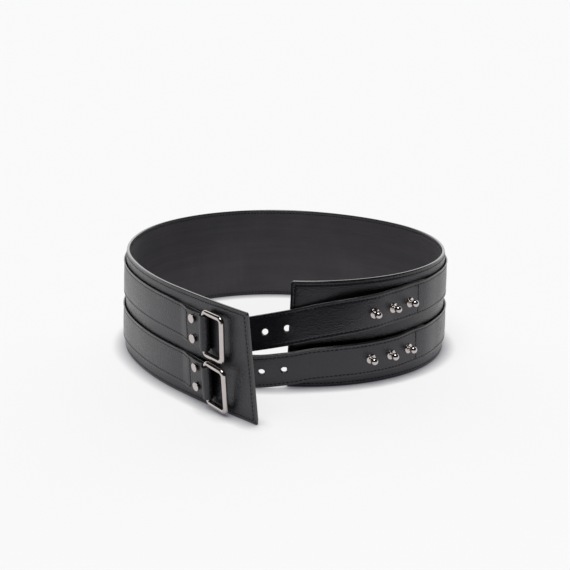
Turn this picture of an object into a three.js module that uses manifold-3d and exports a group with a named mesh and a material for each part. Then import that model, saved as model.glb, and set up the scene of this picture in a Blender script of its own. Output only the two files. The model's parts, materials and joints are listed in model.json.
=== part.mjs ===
// A wide leather waist belt that stands open on its lower edge: one broad panel, and two narrow straps
// sewn round it. Each strap folds round a ring at one end and runs out as a punched tongue at the other.
// Millimetres and degrees, +Z up. A place on the belt is given by its length along the panel's inner
// face, its reach outward from that face, and its height.
import * as THREE from 'three';
import { mergeVertices } from 'three/addons/utils/BufferGeometryUtils.js';
import Module from 'manifold-3d';

const wasm = await Module();
wasm.setup();

// Driving dimensions
const PANEL = { length: 900, height: 90, thick: 3, endSlant: 4, step: 10 };
const START = { x: 3, y: -88.65, heading: -8.7 };
const SEAM = 0.3;
const TRIM_GAP = 0.45;
const STRAP = { width: 29.5, ply: 1.5, doubled: 3, skived: 1.2 };
const STRAP_ENDS = { tip: -80, liningEnd: 124.5, foldedEnd: 814, stepLength: 1 };
const HOLE = { radius: 2.75, pitch: 18.5, count: 4, sides: 16 };
const RING = {
  width: 22.5,
  height: 35.2,
  bar: 4.6,
  thick: 3.4,
  bevel: 1.1,
  outerRadius: 5.6,
  innerRadius: 1,
};
const FOLD = { hollowRadius: 2.75, rise: 8, trim: 0.4, trimRun: 20, sides: 16 };
const RIVET = { radius: 3.5, thick: 1.3, spread: 8.6, sides: 16 };
const STUD = { flange: 4.35, rim: 0.9, neck: 1.7, ball: 3.2, centre: 5.4, pitch: 18.5, count: 3, sides: 14 };

// How far the panel's path turns left in each section of its length
const SECTION = 100;
const TURNS = [45.4, 51.8, 42.5, 30.4, 46.3, 46.2, 33.4, 19.3, 5.9];

// How far the panel's lower edge stands outside its upper edge, at places along its length
const FLARE = [
  { along: 0, out: 3 },
  { along: 225, out: 0 },
  { along: 450, out: 0 },
  { along: 675, out: 5 },
  { along: 900, out: -6 },
];

// Each strap, from its tongue's tip to its fold: the height of its lower edge, its gap to the panel,
// its lean (top towards the panel), and its turn in the panel's own plane
const STRAPS = {
  upper: {
    pivot: 848.4,
    rivetLine: 832,
    firstHole: 1.5,
    firstStud: 68,
    studDrop: 1,
    rows: [
      { along: -80, foot: 17.5, gap: -8, lean: 1, turn: 0 },
      { along: -50, foot: 24, gap: -5, lean: 1.5, turn: 0 },
      { along: -25, foot: 30, gap: -1.2, lean: 3.2, turn: 0 },
      { along: 0, foot: 36.4, gap: 2.8, lean: 5, turn: 0 },
      { along: 25, foot: 42.8, gap: 5, lean: 7.2, turn: 0 },
      { along: 50, foot: 47.6, gap: 7.6, lean: 3, turn: 0 },
      { along: 70, foot: 49.6, gap: 5.7, lean: -2.2, turn: 0 },
      { along: 90, foot: 50.5, gap: 1.3, lean: -2.6, turn: 0 },
      { along: 112, foot: 51.2, gap: 0, lean: 0, turn: 0 },
      { along: 180, foot: 51.4, gap: 0, lean: 0, turn: 0 },
      { along: 640, foot: 50.8, gap: 0, lean: 0, turn: 0 },
      { along: 790, foot: 50.7, gap: 0, lean: 0, turn: 0 },
      { along: 812, foot: 49.7, gap: 0, lean: 0, turn: 0 },
      { along: 832, foot: 48.2, gap: 0, lean: -0.5, turn: 0.5 },
      { along: 848, foot: 48.6, gap: 0, lean: -0.5, turn: 2.5 },
      { along: 860, foot: 48.6, gap: 0, lean: -0.5, turn: 2.5 },
    ],
  },
  lower: {
    pivot: 850.4,
    rivetLine: 834.7,
    firstHole: 0,
    firstStud: 67,
    studDrop: 0.4,
    rows: [
      { along: -80, foot: 1.2, gap: 4, lean: -8, turn: 0 },
      { along: -50, foot: 1.1, gap: 5, lean: -9, turn: 0 },
      { along: -25, foot: 1.1, gap: 5, lean: -10, turn: 0 },
      { along: 0, foot: 3.6, gap: 3.4, lean: -10, turn: 0 },
      { along: 25, foot: 8.1, gap: 1.6, lean: -11, turn: 0 },
      { along: 50, foot: 9.3, gap: 1.5, lean: -9.5, turn: 0 },
      { along: 70, foot: 9.3, gap: 0.6, lean: -7.5, turn: 0 },
      { along: 90, foot: 9.5, gap: 0.2, lean: -5, turn: 0 },
      { along: 112, foot: 10.6, gap: 0, lean: 0, turn: 0 },
      { along: 180, foot: 10.8, gap: 0, lean: 0, turn: 0 },
      { along: 640, foot: 10.6, gap: 0, lean: 0, turn: 0 },
      { along: 790, foot: 10.4, gap: 0, lean: 0, turn: 0 },
      { along: 810, foot: 9.9, gap: 0, lean: 0, turn: 1 },
      { along: 824, foot: 9.2, gap: 0, lean: -1, turn: 2 },
      { along: 836, foot: 8.8, gap: 0, lean: -4.5, turn: 4 },
      { along: 850, foot: 9, gap: 0, lean: -6, turn: 6 },
      { along: 860, foot: 9, gap: 0, lean: -6, turn: 6 },
    ],
  },
};

const LEATHER = { color: 0x1b1b1d, roughness: 0.55, metalness: 0 };
const METAL = { color: 0xc9c5bf, roughness: 0.18, metalness: 1 };

const rad = THREE.MathUtils.degToRad;
const UP = new THREE.Vector3(0, 0, 1);
const TURNED_AXIS = new THREE.Vector3(0, 1, 0);
const CLEAR = 20;

// The slope of a column at row i: none where the column turns, else the harmonic mean of its neighbours
function slopeAt(rows, i, column) {
  if (i === 0 || i === rows.length - 1) return 0;
  const [before, here, after] = [rows[i - 1], rows[i], rows[i + 1]];
  const left = (here[column] - before[column]) / (here.along - before.along);
  const right = (after[column] - here[column]) / (after.along - here.along);
  return left * right <= 0 ? 0 : (2 * left * right) / (left + right);
}

// One column of a table at a length, on a smooth curve through its rows that never overshoots them
function read(rows, column, along) {
  const last = rows.length - 1;
  if (along <= rows[0].along) return rows[0][column];
  if (along >= rows[last].along) return rows[last][column];
  const i = rows.findIndex((row) => row.along > along) - 1;
  const run = rows[i + 1].along - rows[i].along;
  const t = (along - rows[i].along) / run;
  const rise = rows[i + 1][column] - rows[i][column];
  const startSlope = slopeAt(rows, i, column) * run;
  const endSlope = slopeAt(rows, i + 1, column) * run;
  const bend = startSlope + endSlope - 2 * rise;
  return rows[i][column] + t * (startSlope + t * (3 * rise - 2 * startSlope - endSlope + t * bend));
}

// How far the lower edge stands out at a length: straight from row to row
function flareAt(along) {
  const reached = FLARE.filter((row) => row.along <= along).length;
  const i = THREE.MathUtils.clamp(reached, 1, FLARE.length - 1);
  const [from, to] = [FLARE[i - 1], FLARE[i]];
  const t = THREE.MathUtils.clamp((along - from.along) / (to.along - from.along), 0, 1);
  return THREE.MathUtils.lerp(from.out, to.out, t);
}

// The point and heading of the panel's path: one arc for each section, and straight on past either end
function pathAt(along) {
  const here = { x: START.x, y: START.y, heading: rad(START.heading) };
  const go = (run, turn) => {
    const chord = turn === 0 ? run : ((2 * run) / turn) * Math.sin(turn / 2);
    here.x += chord * Math.cos(here.heading + turn / 2);
    here.y += chord * Math.sin(here.heading + turn / 2);
    here.heading += turn;
  };
  if (along <= 0) {
    go(along, 0);
    return here;
  }
  let left = along;
  for (const degrees of TURNS) {
    const run = Math.min(left, SECTION);
    go(run, (rad(degrees) * run) / SECTION);
    left -= run;
  }
  go(left, 0);
  return here;
}

function tangentAt(along) {
  const { heading } = pathAt(along);
  return new THREE.Vector3(Math.cos(heading), Math.sin(heading), 0);
}

// A place on the belt: length along the panel, reach from its inner face, height
function place(along, reach, height) {
  const { x, y, heading } = pathAt(along);
  const out = reach + flareAt(along) * (1 - height / PANEL.height);
  return new THREE.Vector3(x + Math.sin(heading) * out, y - Math.cos(heading) * out, height);
}

// A place on a strap: length along, height up its width, depth out of its back
function onStrap(strap, along, up, depth) {
  const lean = rad(read(strap.rows, 'lean', along));
  const turn = rad(read(strap.rows, 'turn', along));
  const gap = read(strap.rows, 'gap', along);
  const reach = PANEL.thick + SEAM + gap - up * Math.sin(lean) + depth * Math.cos(lean);
  const height = read(strap.rows, 'foot', along) + up * Math.cos(lean) + depth * Math.sin(lean);
  return place(along + (up - STRAP.width / 2) * Math.sin(turn), reach, height);
}

// Lengths from one place to another, in steps of about the given size
function stepped(from, to, step) {
  const count = Math.max(1, Math.round((to - from) / step));
  return Array.from({ length: count + 1 }, (_, i) => from + ((to - from) * i) / count);
}

// A bar of many short lengths: each corner of each length is put where bend(length, side, level) says,
// with side 0 inside or 1 outside, and level 0 at the foot or 1 at the top
function bentBar(lengths, bend) {
  const bar = new THREE.BoxGeometry(1, 1, 1, lengths.length - 1, 1, 1);
  const position = bar.getAttribute('position');
  for (let i = 0; i < position.count; i += 1) {
    const station = Math.round((position.getX(i) + 0.5) * (lengths.length - 1));
    const point = bend(lengths[station], 0.5 - position.getY(i), position.getZ(i) + 0.5);
    position.setXYZ(i, point.x, point.y, point.z);
  }
  return bar;
}

function toSolid(geometry) {
  const bare = geometry.clone();
  bare.deleteAttribute('normal');
  bare.deleteAttribute('uv');
  const merged = mergeVertices(bare, 1e-3);
  return new wasm.Manifold(new wasm.Mesh({
    numProp: 3,
    vertProperties: new Float32Array(merged.getAttribute('position').array),
    triVerts: new Uint32Array(merged.index.array),
  }));
}

function toGeometry(solid) {
  const { vertProperties, triVerts } = solid.getMesh();
  return new THREE.BufferGeometry()
    .setAttribute('position', new THREE.BufferAttribute(vertProperties, 3))
    .setIndex(new THREE.BufferAttribute(triVerts, 1));
}

function named(name, geometry, look) {
  const mesh = new THREE.Mesh(geometry, new THREE.MeshStandardMaterial(look));
  mesh.name = name;
  return mesh;
}

// A rod between two points, to cut with
function rod(from, to, radius, sides) {
  const along = to.clone().sub(from);
  const geometry = new THREE.CylinderGeometry(radius, radius, along.length(), sides);
  const turn = new THREE.Quaternion().setFromUnitVectors(TURNED_AXIS, along.normalize());
  return geometry.applyQuaternion(turn).translate(...from.clone().add(to).multiplyScalar(0.5).toArray());
}

// The broad panel, whose ends slant in towards the top
function panel() {
  const lengths = stepped(0, PANEL.length, PANEL.step);
  return bentBar(lengths, (along, side, level) => {
    const inset = PANEL.endSlant * level;
    const slanted = THREE.MathUtils.clamp(along, inset, PANEL.length - inset);
    return place(slanted, PANEL.thick * side, PANEL.height * level);
  });
}

// The bar centre's depth out of the strap's back
const BAR_DEPTH = STRAP.skived + FOLD.hollowRadius;
const FOLD_RADIUS = FOLD.hollowRadius + STRAP.skived;

// The strap's inner and outer face at a length, as depths out of its back
function strapFaces(strap, along) {
  const { liningEnd, foldedEnd, stepLength } = STRAP_ENDS;
  const { smoothstep, lerp } = THREE.MathUtils;
  if (along > strap.pivot) {
    const half = Math.sqrt(Math.max(0, FOLD_RADIUS ** 2 - (along - strap.pivot) ** 2));
    return { inner: BAR_DEPTH - half, outer: BAR_DEPTH + half };
  }
  const lining = 1 - smoothstep(along, liningEnd, liningEnd + stepLength);
  const folded = smoothstep(along, foldedEnd, foldedEnd + stepLength);
  const flat = lerp(STRAP.ply, STRAP.doubled, Math.max(lining, folded));
  const rise = smoothstep(along, strap.pivot - FOLD.rise, strap.pivot - 1);
  return { inner: 0, outer: lerp(flat, BAR_DEPTH + FOLD_RADIUS, rise) };
}

// The lengths at which a strap has a section: the panel's own, and closer ones at its tip, steps and fold
function strapLengths(strap) {
  const { tip, liningEnd, foldedEnd, stepLength } = STRAP_ENDS;
  const round = STRAP.width / 2;
  const foldStart = strap.pivot - FOLD.rise;
  const tipLengths = stepped(80, 0, -16).map((angle) => tip + round * (1 - Math.sin(rad(angle))));
  const steps = [liningEnd, liningEnd + stepLength, foldedEnd, foldedEnd + stepLength];
  const riseLengths = stepped(foldStart, strap.pivot, 1.4);
  const foldLengths = stepped(14, 84, 14).map((angle) => strap.pivot + FOLD_RADIUS * Math.sin(rad(angle)));
  const close = [...tipLengths, ...steps, ...riseLengths, ...foldLengths];
  const between = stepped(-PANEL.step * 6, PANEL.length, PANEL.step)
    .filter((along) => along < foldStart)
    .filter((along) => close.every((other) => Math.abs(other - along) > stepLength));
  return [...close, ...between].sort((a, b) => a - b);
}

// The height between a strap's edge and its middle, which narrows round the tip and is trimmed at the fold
function halfWidth(along) {
  const round = STRAP.width / 2;
  const past = Math.max(0, STRAP_ENDS.tip + round - along);
  const { foldedEnd } = STRAP_ENDS;
  const trimmed = FOLD.trim * THREE.MathUtils.smoothstep(along, foldedEnd, foldedEnd + FOLD.trimRun);
  return Math.sqrt(round ** 2 - past ** 2) - trimmed;
}

// The line down the middle of the fold's hollow, which the ring turns about
function hingeLine(strap, beyond) {
  const top = onStrap(strap, strap.pivot, STRAP.width, BAR_DEPTH);
  const foot = onStrap(strap, strap.pivot, 0, BAR_DEPTH);
  const up = top.clone().sub(foot).normalize();
  return {
    centre: top.clone().add(foot).multiplyScalar(0.5),
    up,
    top: top.addScaledVector(up, beyond),
    foot: foot.addScaledVector(up, -beyond),
  };
}

function strapBody(strap) {
  const middle = STRAP.width / 2;
  const blank = bentBar(strapLengths(strap), (along, side, level) => {
    const { inner, outer } = strapFaces(strap, along);
    const up = middle + halfWidth(along) * (2 * level - 1);
    return onStrap(strap, along, up, side ? outer : inner);
  });
  const { top, foot } = hingeLine(strap, CLEAR);
  let body = toSolid(blank).subtract(toSolid(rod(foot, top, FOLD.hollowRadius, FOLD.sides)));
  for (let i = 0; i < HOLE.count; i += 1) {
    const along = strap.firstHole - i * HOLE.pitch;
    const from = onStrap(strap, along, middle, -STRAP.doubled);
    const to = onStrap(strap, along, middle, 2 * STRAP.doubled);
    body = body.subtract(toSolid(rod(from, to, HOLE.radius, HOLE.sides)));
  }
  return toGeometry(body);
}

// A rectangle with round corners, as a shape or as a hole in one
function roundedRectangle(path, centreX, halfX, halfY, radius) {
  const [left, right] = [centreX - halfX, centreX + halfX];
  path.moveTo(right, radius - halfY);
  path.absarc(right - radius, halfY - radius, radius, 0, Math.PI / 2, false);
  path.absarc(left + radius, halfY - radius, radius, Math.PI / 2, Math.PI, false);
  path.absarc(left + radius, radius - halfY, radius, Math.PI, 1.5 * Math.PI, false);
  path.absarc(right - radius, radius - halfY, radius, 1.5 * Math.PI, 2 * Math.PI, false);
  return path;
}

// A flat bevelled ring, drawn with the bar it turns on along Y and its own face along +Z
function ringBody() {
  const { width, height, bar, thick, bevel, outerRadius, innerRadius } = RING;
  const [halfX, halfY, edge] = [width / 2, height / 2, bar / 2];
  const outline = roundedRectangle(new THREE.Shape(), halfX, halfX + edge, halfY + edge, outerRadius);
  const opening = roundedRectangle(new THREE.Path(), halfX, halfX - edge, halfY - edge, innerRadius);
  outline.holes.push(opening);
  const ring = new THREE.ExtrudeGeometry(outline, {
    depth: thick - 2 * bevel,
    bevelThickness: bevel,
    bevelSize: bevel,
    bevelOffset: -bevel,
    bevelSegments: 1,
    curveSegments: 4,
  });
  return ring.translate(0, 0, bevel - thick / 2);
}

function ringMesh(name, strap) {
  const mesh = named(name, ringBody(), METAL);
  const { centre, up } = hingeLine(strap, 0);
  const tangent = tangentAt(strap.pivot);
  const across = tangent.addScaledVector(up, -tangent.dot(up)).normalize();
  const basis = new THREE.Matrix4().makeBasis(across, up, across.clone().cross(up));
  mesh.quaternion.setFromRotationMatrix(basis);
  mesh.position.copy(centre);
  return mesh;
}

// A low dome on a straight rim, turned about its own axis
function rivetBody() {
  const { radius, thick, sides } = RIVET;
  const rim = thick / 2;
  const profile = [
    new THREE.Vector2(0, 0),
    new THREE.Vector2(radius, 0),
    new THREE.Vector2(radius, rim),
    new THREE.Vector2(radius * 0.75, rim + (thick - rim) * 0.7),
    new THREE.Vector2(0, thick),
  ];
  return new THREE.LatheGeometry(profile, sides);
}

// A ball on a neck, above a round flange
function studBody() {
  const { flange, rim, neck, ball, centre, sides } = STUD;
  const neckAngle = Math.asin(neck / ball);
  const ballAngles = stepped(THREE.MathUtils.radToDeg(Math.PI - neckAngle), 0, -25);
  const profile = [
    new THREE.Vector2(0, 0),
    new THREE.Vector2(flange, 0),
    new THREE.Vector2(flange, rim * 0.6),
    new THREE.Vector2(flange * 0.8, rim),
    new THREE.Vector2(neck, rim + 0.3),
    ...ballAngles.map((angle) => new THREE.Vector2(
      angle === 0 ? 0 : ball * Math.sin(rad(angle)),
      centre + ball * Math.cos(rad(angle)),
    )),
  ];
  return new THREE.LatheGeometry(profile, sides);
}

// The direction straight out of a strap's face
function outOf(strap, along, up, depth) {
  const span = PANEL.step / 2;
  const run = onStrap(strap, along + span, up, depth).sub(onStrap(strap, along - span, up, depth));
  const rise = onStrap(strap, along, up + span, depth).sub(onStrap(strap, along, up - span, depth));
  return run.cross(rise).normalize();
}

// Metal trim on a strap's face, with its axis straight out of the face
function trim(name, geometry, strap, along, up) {
  const mesh = named(name, geometry, METAL);
  const { outer } = strapFaces(strap, along);
  const seat = onStrap(strap, along, up, outer);
  const normal = outOf(strap, along, up, outer);
  mesh.quaternion.setFromUnitVectors(TURNED_AXIS, normal);
  mesh.position.copy(seat).addScaledVector(normal, TRIM_GAP);
  return mesh;
}

const belt = new THREE.Group();
belt.up.copy(UP);
belt.add(named('waist_panel', panel(), LEATHER));
for (const [side, strap] of Object.entries(STRAPS)) {
  const middle = STRAP.width / 2;
  belt.add(named(`strap_${side}`, strapBody(strap), LEATHER));
  belt.add(ringMesh(`ring_${side}`, strap));
  belt.add(trim(`rivet_${side}_a`, rivetBody(), strap, strap.rivetLine, middle + RIVET.spread));
  belt.add(trim(`rivet_${side}_b`, rivetBody(), strap, strap.rivetLine, middle - RIVET.spread));
  for (let i = 0; i < STUD.count; i += 1) {
    const along = strap.firstStud + i * STUD.pitch;
    belt.add(trim(`stud_${side}_${i + 1}`, studBody(), strap, along, middle - strap.studDrop));
  }
}

export default belt;
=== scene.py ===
"""A wide black leather waist belt that stands open on its lower edge.

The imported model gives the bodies, the joints and the box. Each piece of leather is worked in the flat, as
it is cut and sewn, and is then bent to the belt's path. Work is in millimetres and degrees until a mesh is
finished, and it is scaled to metres then.
"""

import json
import logging
import math
from collections.abc import Callable, Iterable, Sequence
from dataclasses import dataclass, field
from enum import Enum
from typing import Any

import bmesh
import bpy
from mathutils import Matrix, Vector, noise


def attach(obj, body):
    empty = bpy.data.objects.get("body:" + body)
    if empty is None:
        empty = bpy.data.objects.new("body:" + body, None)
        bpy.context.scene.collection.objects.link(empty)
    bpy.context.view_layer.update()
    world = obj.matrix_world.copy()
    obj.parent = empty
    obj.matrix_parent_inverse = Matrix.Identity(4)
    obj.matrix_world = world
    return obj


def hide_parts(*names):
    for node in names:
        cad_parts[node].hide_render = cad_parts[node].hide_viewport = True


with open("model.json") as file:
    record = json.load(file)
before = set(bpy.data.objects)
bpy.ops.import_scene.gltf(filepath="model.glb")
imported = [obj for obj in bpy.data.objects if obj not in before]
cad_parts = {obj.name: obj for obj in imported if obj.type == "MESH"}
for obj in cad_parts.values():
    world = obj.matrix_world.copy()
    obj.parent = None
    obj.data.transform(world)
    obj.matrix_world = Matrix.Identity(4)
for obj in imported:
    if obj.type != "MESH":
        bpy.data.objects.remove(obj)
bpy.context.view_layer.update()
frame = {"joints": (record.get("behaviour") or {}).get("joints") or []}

log = logging.getLogger("belt")

# The metres in a millimetre
METRES = 0.001
# How near two places are when they count as one: in a sum, at a cut and in an outline
TINY = 0.001
CUT = 0.0001
WELD = 0.02
# How level a face is when it counts as part of a flat side
LEVEL = 0.99
# The colour sockets of a Mix node: two in and one out
LOW, HIGH, MIXED = 6, 7, 2

Colour = tuple[float, float, float]
Pair = tuple[float, float]
Triple = tuple[float, float, float]
Bend = Callable[[Vector], Vector]
Socket = bpy.types.NodeSocket
Material = bpy.types.Material
Mesh = bmesh.types.BMesh


class Axis(Enum):
    """The directions of leather that lies flat."""

    ALONG = Vector((1, 0, 0))
    OUT = Vector((0, 1, 0))
    UP = Vector((0, 0, 1))


class Side(Enum):
    """The two sides of a piece of leather."""

    BACK = -1
    FACE = 1


class Body(Enum):
    """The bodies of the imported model."""

    BELT = "belt"
    RING_UPPER = "ring_upper"
    RING_LOWER = "ring_lower"


class Slot(Enum):
    """The record's material slots."""

    LEATHER = "leather"
    METAL = "polished_metal"


def smooth_step(value: float, low: float, high: float) -> float:
    """An eased rise from 0 to 1.

    Args:
        value: The place on the rise.
        low: Where the rise starts.
        high: Where the rise ends.

    Returns:
        0 up to low, 1 from high on, and an eased number between them.
    """
    t = min(1.0, max(0.0, (value - low) / (high - low)))
    return t * t * (3 - 2 * t)


def bump(distance: float, width: float) -> float:
    """A round hump that is 1 where the distance is 0 and dies away over a width."""
    return math.exp(-((distance / width) ** 2))


def stepped(start: float, end: float, step: float) -> list[float]:
    """Evenly spaced places.

    Args:
        start: The first place.
        end: The last place.
        step: The spacing to come near to.

    Returns:
        The places, with both ends among them.
    """
    count = max(1, round(abs(end - start) / step))
    return [start + (end - start) * i / count for i in range(count + 1)]


def ripple(size: Pair, along: float, up: float, layer: float) -> float:
    """A smooth noise on flat leather.

    Args:
        size: The length and the height of its waves.
        along: The length at which it is read.
        up: The height at which it is read.
        layer: The number of the noise, since each layer has its own waves.

    Returns:
        A number between about -1 and 1.
    """
    return noise.noise(Vector((along / size[0], up / size[1], layer)))


def on_arc(centre: Pair, radius: float, angles: Iterable[float]) -> list[Pair]:
    """Points on an arc of a turned profile.

    Args:
        centre: The arc's centre, as its distance from the axis and its height.
        radius: The arc's radius.
        angles: The points' angles above level, in degrees.

    Returns:
        The distance from the axis and the height of each point.
    """
    turns = [math.radians(angle) for angle in angles]
    return [(centre[0] + radius * math.cos(turn), centre[1] + radius * math.sin(turn)) for turn in turns]


def verts_in(made: Iterable[Any]) -> list[bmesh.types.BMVert]:
    """The vertices among the things that an operator made."""
    return [part for part in made if isinstance(part, bmesh.types.BMVert)]


def edges_in(made: Iterable[Any]) -> list[bmesh.types.BMEdge]:
    """The edges among the things that an operator made."""
    return [part for part in made if isinstance(part, bmesh.types.BMEdge)]


@dataclass
class BeltPath:
    """The line that the panel's inner face follows, from the right front end round to the left one.

    A place on the belt is a length along this line, a reach outward from it and a height.
    """

    start: Pair = (3.0, -88.65)
    heading: float = -8.7
    section: float = 100.0
    turns: tuple[float, ...] = (45.4, 51.8, 42.5, 30.4, 46.3, 46.2, 33.4, 19.3, 5.9)
    flare: tuple[Pair, ...] = ((0, 3), (225, 0), (450, 0), (675, 5), (900, -6))
    flare_blend: float = 30.0
    height: float = 90.0
    known: dict[float, Triple] = field(default_factory=dict, repr=False)

    def at(self, along: float) -> Triple:
        """The line's point and heading.

        Args:
            along: The length along the line, which runs on straight past both ends.

        Returns:
            The point's x and y, and the heading in radians.
        """
        if along not in self.known:
            x, y = self.start
            heading = math.radians(self.heading)
            left = along
            for degrees in self.turns if along > 0 else ():
                run = min(left, self.section)
                turn = math.radians(degrees) * run / self.section
                chord = 2 * run / turn * math.sin(turn / 2) if turn else run
                x += chord * math.cos(heading + turn / 2)
                y += chord * math.sin(heading + turn / 2)
                heading += turn
                left -= run
            self.known[along] = (x + left * math.cos(heading), y + left * math.sin(heading), heading)
        return self.known[along]

    def flare_at(self, along: float) -> float:
        """How far the lower edge stands outside the upper one, straight from row to row."""
        rows = self.flare
        if along <= rows[0][0]:
            return rows[0][1]
        for (start, low), (end, high) in zip(rows, rows[1:]):
            if along <= end:
                return low + (high - low) * (along - start) / (end - start)
        return rows[-1][1]

    def eased_flare(self, along: float) -> float:
        """The flare with its corners eased."""
        near = [self.flare_at(along + self.flare_blend * share) for share in (-1, -0.5, 0, 0.5, 1)]
        return sum(near) / len(near)

    def place(self, along: float, reach: float, height: float) -> Vector:
        """A place on the belt.

        Args:
            along: The length along the line.
            reach: The distance outward from the panel's inner face.
            height: The height above the surface that the belt stands on.

        Returns:
            The point, in millimetres.
        """
        x, y, heading = self.at(along)
        out = reach + self.eased_flare(along) * (1 - height / self.height)
        return Vector((x + math.sin(heading) * out, y - math.cos(heading) * out, height))

    def tangent(self, along: float) -> Vector:
        """The line's direction at a length."""
        heading = self.at(along)[2]
        return Vector((math.cos(heading), math.sin(heading), 0))


@dataclass(frozen=True)
class Station:
    """Where a strap lies at one length: its lower edge's height, its gap to the panel, and its tilts."""

    along: float
    foot: float
    gap: float
    lean: float
    turn: float


@dataclass
class StrapCourse:
    """How a strap lies on the belt, from its tongue's tip to its fold."""

    path: BeltPath
    stations: tuple[Station, ...]
    width: float = 29.5
    panel_reach: float = 3.3
    known: dict[tuple[str, float], float] = field(default_factory=dict, repr=False)

    def slope(self, index: int, column: str) -> float:
        """The slope of a column at a row: level at a turning row, else the mean of its neighbours."""
        if index in (0, len(self.stations) - 1):
            return 0.0
        before, here, after = self.stations[index - 1:index + 2]
        left = (getattr(here, column) - getattr(before, column)) / (here.along - before.along)
        right = (getattr(after, column) - getattr(here, column)) / (after.along - here.along)
        return 0.0 if left * right <= 0 else 2 * left * right / (left + right)

    def read(self, column: str, along: float) -> float:
        """One column of the stations, on a smooth curve that never overshoots them.

        Args:
            column: The column's name.
            along: The length along the belt.

        Returns:
            The column's value there.
        """
        key = (column, along)
        if key not in self.known:
            self.known[key] = self.worked_out(column, along)
        return self.known[key]

    def worked_out(self, column: str, along: float) -> float:
        """The value that read gives, before it is remembered."""
        stations = self.stations
        if along <= stations[0].along:
            return getattr(stations[0], column)
        if along >= stations[-1].along:
            return getattr(stations[-1], column)
        index = next(i for i, row in enumerate(stations) if row.along > along) - 1
        here, after = stations[index], stations[index + 1]
        run = after.along - here.along
        t = (along - here.along) / run
        rise = getattr(after, column) - getattr(here, column)
        first, last = self.slope(index, column) * run, self.slope(index + 1, column) * run
        return getattr(here, column) + t * (
            first + t * (3 * rise - 2 * first - last + t * (first + last - 2 * rise))
        )

    def place(self, along: float, up: float, depth: float) -> Vector:
        """A place on the strap.

        Args:
            along: The length along the belt.
            up: The height up the strap's width.
            depth: The distance out from the strap's back.

        Returns:
            The point, in millimetres.
        """
        lean = math.radians(self.read("lean", along))
        turn = math.radians(self.read("turn", along))
        gap = self.read("gap", along)
        reach = self.panel_reach + gap - up * math.sin(lean) + depth * math.cos(lean)
        height = self.read("foot", along) + up * math.cos(lean) + depth * math.sin(lean)
        return self.path.place(along + (up - self.width / 2) * math.sin(turn), reach, height)

    def outward(self, along: float, up: float, depth: float) -> Vector:
        """The direction straight out of the strap's face."""
        span = 2.0
        run = self.place(along + span, up, depth) - self.place(along - span, up, depth)
        rise = self.place(along, up + span, depth) - self.place(along, up - span, depth)
        return run.cross(rise).normalized()


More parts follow.
